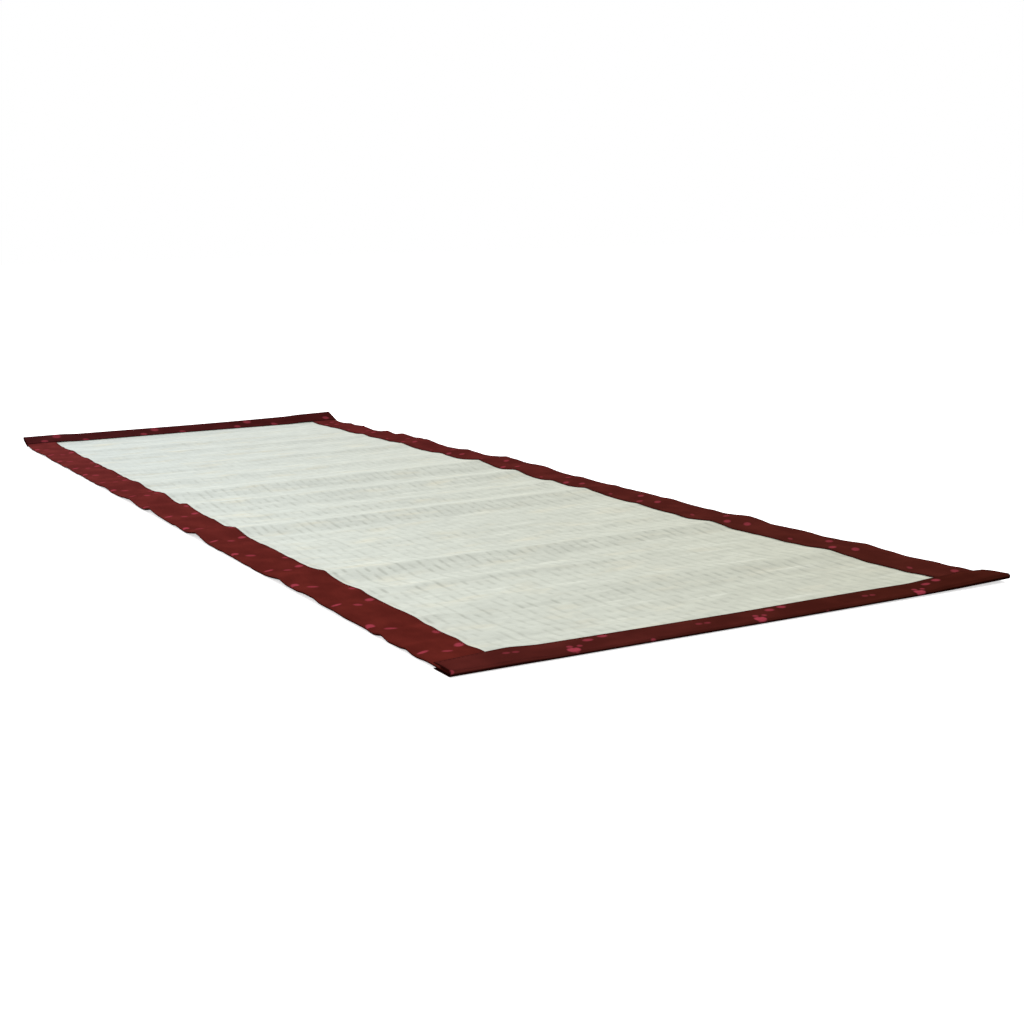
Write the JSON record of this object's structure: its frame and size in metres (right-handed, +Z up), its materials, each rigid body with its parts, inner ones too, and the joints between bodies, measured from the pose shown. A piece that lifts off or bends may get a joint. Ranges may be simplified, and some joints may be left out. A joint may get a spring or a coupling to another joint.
{
  "type": "tatami yoga mat",
  "caption": "Long rectangular woven rush exercise mat with folded cotton cloth binding on all four edges, lying flat with soft cross creases and one curled end.",
  "frame": {"origin": "on the floor under the middle of the mat", "axes": "+Y along the length towards the curled end, +X across the width to the right, +Z up"},
  "size_m": [0.6002, 1.8299, 0.0208],
  "materials": {
    "rush_weave": "pale green-grey woven rush, matt with a faint sheen",
    "binding_cloth": "matt burgundy cotton with small printed pink blossoms"
  },
  "bodies": {
    "root": {"mat_field": "rush_weave", "binding_left": "binding_cloth", "binding_right": "binding_cloth", "binding_near": "binding_cloth", "binding_far": "binding_cloth"}
  },
  "joints": []
}
